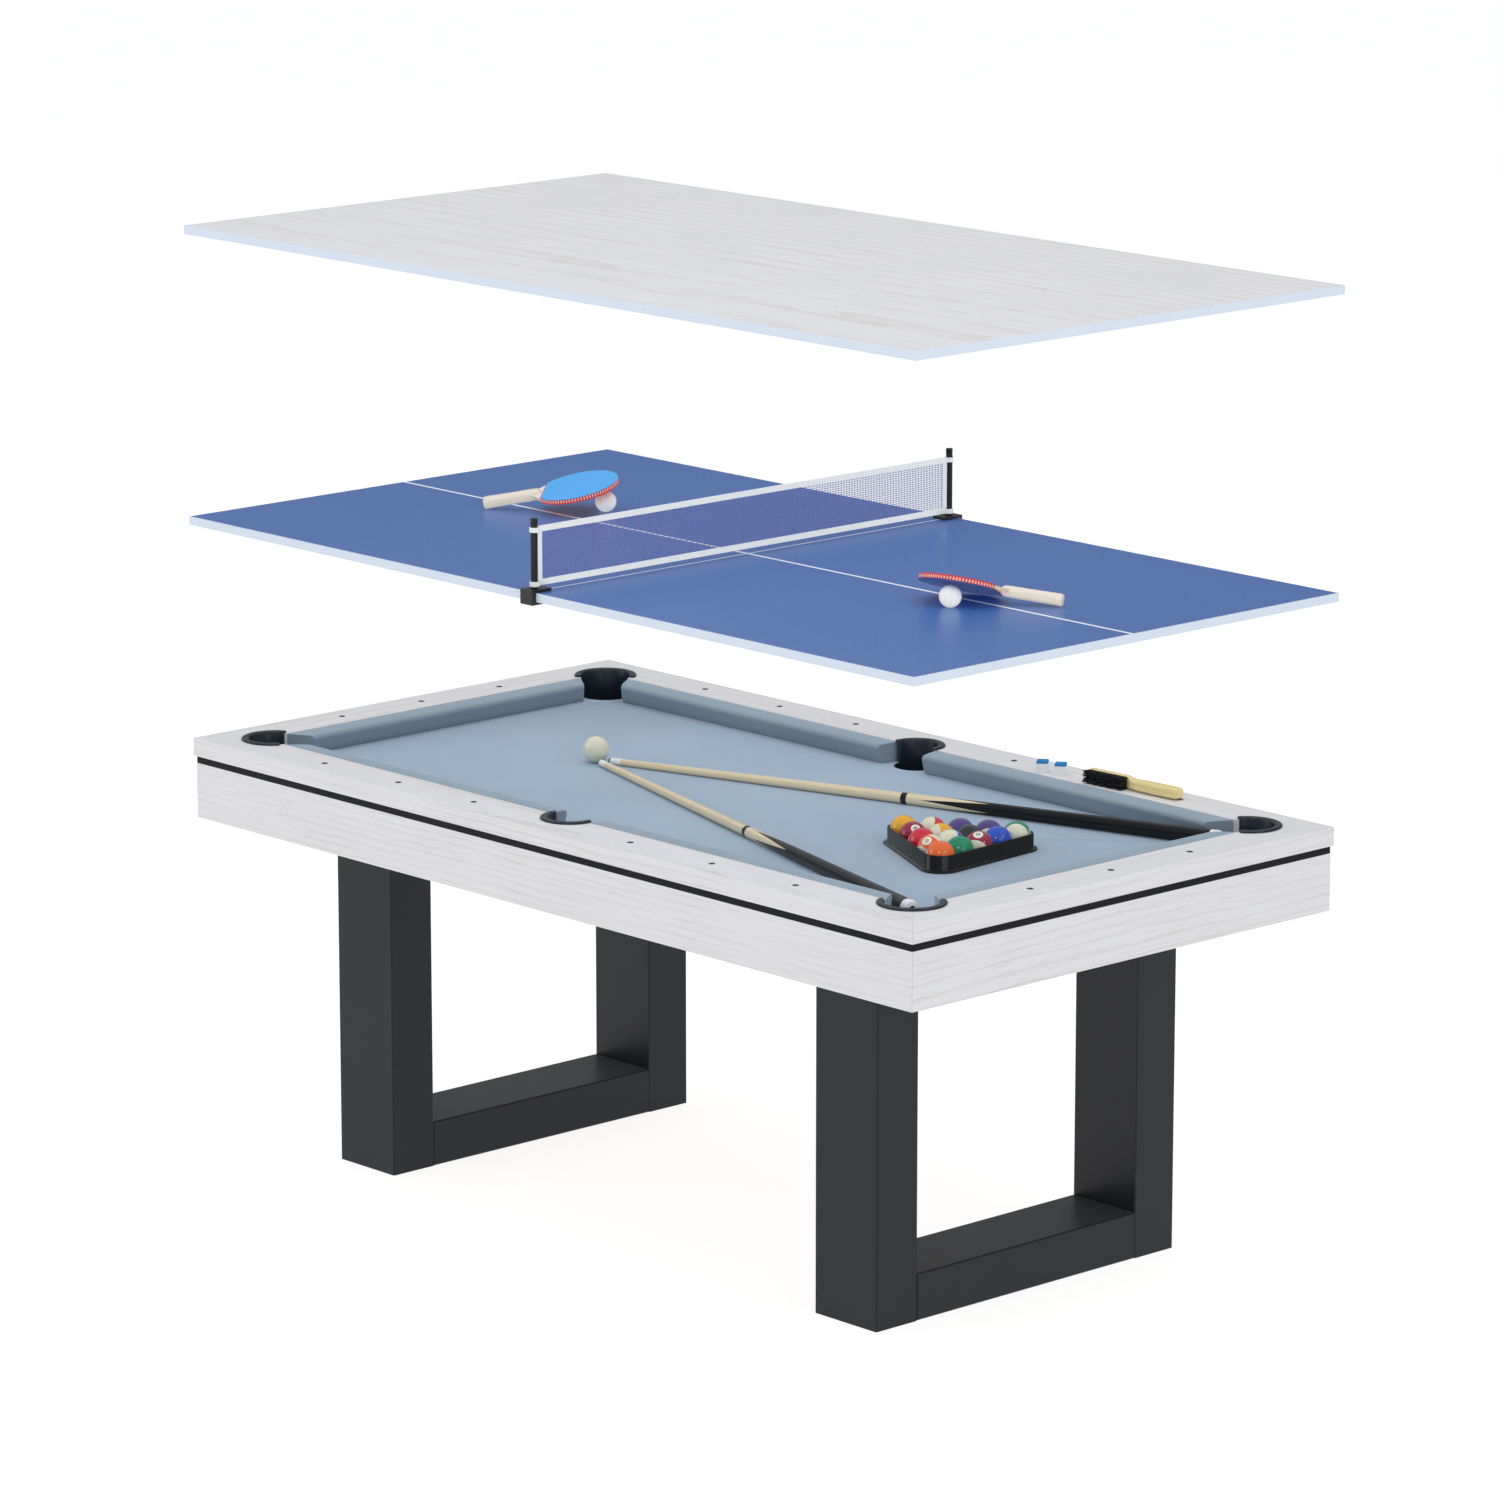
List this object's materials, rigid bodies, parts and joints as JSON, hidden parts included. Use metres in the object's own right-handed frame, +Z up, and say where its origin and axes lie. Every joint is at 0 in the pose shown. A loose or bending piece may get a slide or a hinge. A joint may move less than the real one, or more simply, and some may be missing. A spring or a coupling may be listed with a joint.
{
  "type": "pool table with conversion tops",
  "caption": "Six-pocket pool table on U-shaped legs with a table-tennis top and a dining top lifted above it, cues, racked balls, net and paddles.",
  "frame": {"origin": "centre of the base, on the floor midway between the legs", "axes": "+X along the table's length, +Y across it, towards the long side with the chalk and brush on its rail, +Z up"},
  "size_m": [1.94, 1.0586, 1.769],
  "materials": {
    "whitewashed_laminate": "satin",
    "reveal_black": "satin",
    "charcoal_laminate": "satin",
    "bed_board": "matte",
    "bed_cloth": "woven nap",
    "cushion_cloth": "woven nap",
    "pocket_plastic": "gloss",
    "tennis_blue": "satin paint",
    "net_mesh": "knotted mesh with white tapes",
    "black_plastic": "satin",
    "blue_rubber": "pimples in",
    "red_rubber": "pimples in",
    "white_celluloid": "matte",
    "ball_resin": "polished",
    "cue_ball_resin": "polished",
    "maple": "varnished",
    "black_lacquer": "gloss lacquer",
    "chalk": "chalk in a paper wrap",
    "beech": "varnished"
  },
  "bodies": {
    "table": {"apron_near": "whitewashed_laminate", "apron_far": "whitewashed_laminate", "apron_left": "whitewashed_laminate", "apron_right": "whitewashed_laminate", "reveal_strip": "reveal_black", "rail_near": "whitewashed_laminate", "rail_far": "whitewashed_laminate", "rail_left": "whitewashed_laminate", "rail_right": "whitewashed_laminate", "bed_board": "bed_board", "bed_cloth": "bed_cloth", "cushion_near_left": "cushion_cloth", "cushion_near_right": "cushion_cloth", "cushion_far_left": "cushion_cloth", "cushion_far_right": "cushion_cloth", "cushion_end_left": "cushion_cloth", "cushion_end_right": "cushion_cloth", "pocket_near_left": "pocket_plastic", "pocket_near_middle": "pocket_plastic", "pocket_near_right": "pocket_plastic", "pocket_far_left": "pocket_plastic", "pocket_far_middle": "pocket_plastic", "pocket_far_right": "pocket_plastic", "cross_member_left": "bed_board", "cross_member_middle": "bed_board", "cross_member_right": "bed_board", "leg_left_upright_near": "charcoal_laminate", "leg_left_upright_far": "charcoal_laminate", "leg_left_beam": "charcoal_laminate", "leg_right_upright_near": "charcoal_laminate", "leg_right_upright_far": "charcoal_laminate", "leg_right_beam": "charcoal_laminate"},
    "tennis_top": {"tennis_panel_left": "tennis_blue", "tennis_panel_right": "tennis_blue", "net_clamp_near": "black_plastic", "net_clamp_far": "black_plastic"},
    "net_set": {"net_post_near": "black_plastic", "net_post_far": "black_plastic", "net": "net_mesh"},
    "paddle_1": {"paddle_1": "blue_rubber"},
    "paddle_2": {"paddle_2": "red_rubber"},
    "table_tennis_ball_1": {"table_tennis_ball_1": "white_celluloid"},
    "table_tennis_ball_2": {"table_tennis_ball_2": "white_celluloid"},
    "dining_top": {"dining_panel_left": "whitewashed_laminate", "dining_panel_right": "whitewashed_laminate"},
    "rack": {"rack": "black_plastic"},
    "racked_balls": {"ball_row_1": "ball_resin", "ball_row_2": "ball_resin", "ball_row_3": "ball_resin", "ball_row_4": "ball_resin", "ball_row_5": "ball_resin"},
    "cue_ball": {"cue_ball": "cue_ball_resin"},
    "cue_1": {"cue_1_butt": "black_lacquer"},
    "cue_1_shaft": {"cue_1_shaft": "maple"},
    "cue_2": {"cue_2_butt": "black_lacquer"},
    "cue_2_shaft": {"cue_2_shaft": "maple"},
    "chalk_1": {"chalk_1": "chalk"},
    "chalk_2": {"chalk_2": "chalk"},
    "brush": {"brush": "beech"}
  },
  "joints": [
    {"name": "tennis_top_drop", "type": "slide", "parent": "table", "child": "tennis_top", "axis": [0, 0, 1], "range_m": [-0.27, 0]},
    {"name": "dining_top_drop", "type": "slide", "parent": "table", "child": "dining_top", "axis": [0, 0, 1], "range_m": [-0.3, 0]},
    {"name": "net_set_lift", "type": "slide", "parent": "tennis_top", "child": "net_set", "axis": [0, 0, 1], "range_m": [0, 0.06]},
    {"name": "paddle_1_lift", "type": "slide", "parent": "tennis_top", "child": "paddle_1", "axis": [0, 0, 1], "range_m": [0, 0.1]},
    {"name": "paddle_2_lift", "type": "slide", "parent": "tennis_top", "child": "paddle_2", "axis": [0, 0, 1], "range_m": [0, 0.1]},
    {"name": "table_tennis_ball_1_roll", "type": "slide", "parent": "tennis_top", "child": "table_tennis_ball_1", "axis": [0.788, 0.6157, 0], "range_m": [0, 0.12]},
    {"name": "table_tennis_ball_2_roll", "type": "slide", "parent": "tennis_top", "child": "table_tennis_ball_2", "axis": [0.53, -0.848, 0], "range_m": [0, 0.12]},
    {"name": "rack_lift", "type": "slide", "parent": "table", "child": "rack", "axis": [0, 0, 1], "range_m": [0, 0.1]},
    {"name": "racked_balls_lift", "type": "slide", "parent": "table", "child": "racked_balls", "axis": [0, 0, 1], "range_m": [0, 0.1]},
    {"name": "cue_ball_lift", "type": "slide", "parent": "table", "child": "cue_ball", "axis": [0, 0, 1], "range_m": [0, 0.1]},
    {"name": "cue_1_lift", "type": "slide", "parent": "table", "child": "cue_1", "axis": [0, 0, 1], "range_m": [0, 0.1]},
    {"name": "cue_1_shaft_turn", "type": "hinge", "parent": "cue_1", "child": "cue_1_shaft", "pos_m": [-0.398, -0.006, 0.7688], "axis": [0.9563, -0.2924, 0.0063], "range_deg": [-180, 180]},
    {"name": "cue_2_lift", "type": "slide", "parent": "table", "child": "cue_2", "axis": [0, 0, 1], "range_m": [0, 0.1]},
    {"name": "cue_2_shaft_turn", "type": "hinge", "parent": "cue_2", "child": "cue_2_shaft", "pos_m": [-0.398, 0.016, 0.7688], "axis": [0.9588, 0.284, 0.0062], "range_deg": [-180, 180]},
    {"name": "chalk_1_lift", "type": "slide", "parent": "table", "child": "chalk_1", "axis": [0, 0, 1], "range_m": [0, 0.1]},
    {"name": "chalk_2_lift", "type": "slide", "parent": "table", "child": "chalk_2", "axis": [0, 0, 1], "range_m": [0, 0.1]},
    {"name": "brush_lift", "type": "slide", "parent": "table", "child": "brush", "axis": [0, 0, 1], "range_m": [0, 0.1]}
  ]
}
